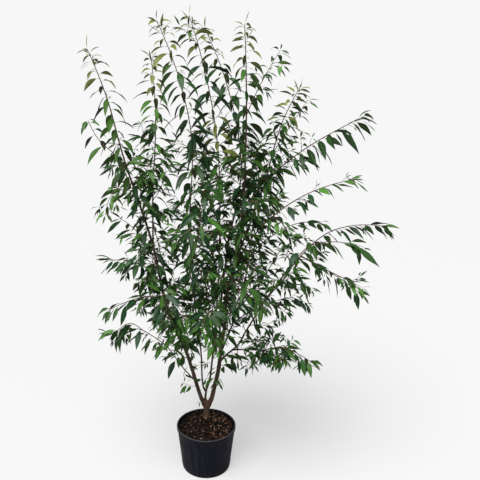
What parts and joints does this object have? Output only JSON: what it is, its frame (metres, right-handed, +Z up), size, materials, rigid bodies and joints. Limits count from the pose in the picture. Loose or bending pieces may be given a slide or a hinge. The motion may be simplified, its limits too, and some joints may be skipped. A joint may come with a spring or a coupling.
{
  "type": "potted birch bark cherry tree",
  "caption": "Young multi-stem ornamental cherry tree with upright arching leaders and hanging narrow leaves, growing in a round nursery pot.",
  "frame": {"origin": "centre of the pot's flat underside, on the floor that it stands on", "axes": "+Z up along the tree's height, -Y towards the front, +X to the right"},
  "size_m": [1.3471, 0.975, 2.0752],
  "materials": {
    "pot_black_plastic": "matt black moulded plastic with a faint sheen",
    "potting_soil": "loose dark brown bark-based potting mix with lighter chips",
    "brown_bark": "smooth dark reddish brown bark with pale cross lines",
    "green_leaves": "half-matt dark green narrow leaves, younger ones yellow-green"
  },
  "bodies": {
    "root": {"pot": "pot_black_plastic", "soil": "potting_soil", "trunk": "brown_bark", "left_tall_bough": "brown_bark", "left_tall_leaves": "green_leaves", "right_tall_bough": "brown_bark", "right_tall_leaves": "green_leaves", "centre_tall_bough": "brown_bark", "centre_tall_leaves": "green_leaves", "centre_second_bough": "brown_bark", "centre_second_leaves": "green_leaves", "mid_left_bough": "brown_bark", "mid_left_leaves": "green_leaves", "left_inner_bough": "brown_bark", "left_inner_leaves": "green_leaves", "right_upper_bough": "brown_bark", "right_upper_leaves": "green_leaves", "right_reach_bough": "brown_bark", "right_reach_leaves": "green_leaves", "right_mid_bough": "brown_bark", "right_mid_leaves": "green_leaves", "right_arc_bough": "brown_bark", "right_arc_leaves": "green_leaves", "right_long_bough": "brown_bark", "right_long_leaves": "green_leaves", "right_low_arc_bough": "brown_bark", "right_low_arc_leaves": "green_leaves", "right_fall_bough": "brown_bark", "right_fall_leaves": "green_leaves", "right_back_bough": "brown_bark", "right_back_leaves": "green_leaves", "low_right_bough": "brown_bark", "low_right_leaves": "green_leaves", "low_left_bough": "brown_bark", "low_left_leaves": "green_leaves", "left_fall_bough": "brown_bark", "left_fall_leaves": "green_leaves", "left_mid_bough": "brown_bark", "left_mid_leaves": "green_leaves", "left_upper_bough": "brown_bark", "left_upper_leaves": "green_leaves", "left_side_bough": "brown_bark", "left_side_leaves": "green_leaves", "front_left_bough": "brown_bark", "front_left_leaves": "green_leaves", "front_centre_bough": "brown_bark", "front_centre_leaves": "green_leaves", "front_right_bough": "brown_bark", "front_right_leaves": "green_leaves", "front_high_bough": "brown_bark", "front_high_leaves": "green_leaves", "back_left_bough": "brown_bark", "back_left_leaves": "green_leaves", "back_right_bough": "brown_bark", "back_right_leaves": "green_leaves", "back_low_bough": "brown_bark", "back_low_leaves": "green_leaves", "back_high_bough": "brown_bark", "back_high_leaves": "green_leaves"}
  },
  "joints": []
}
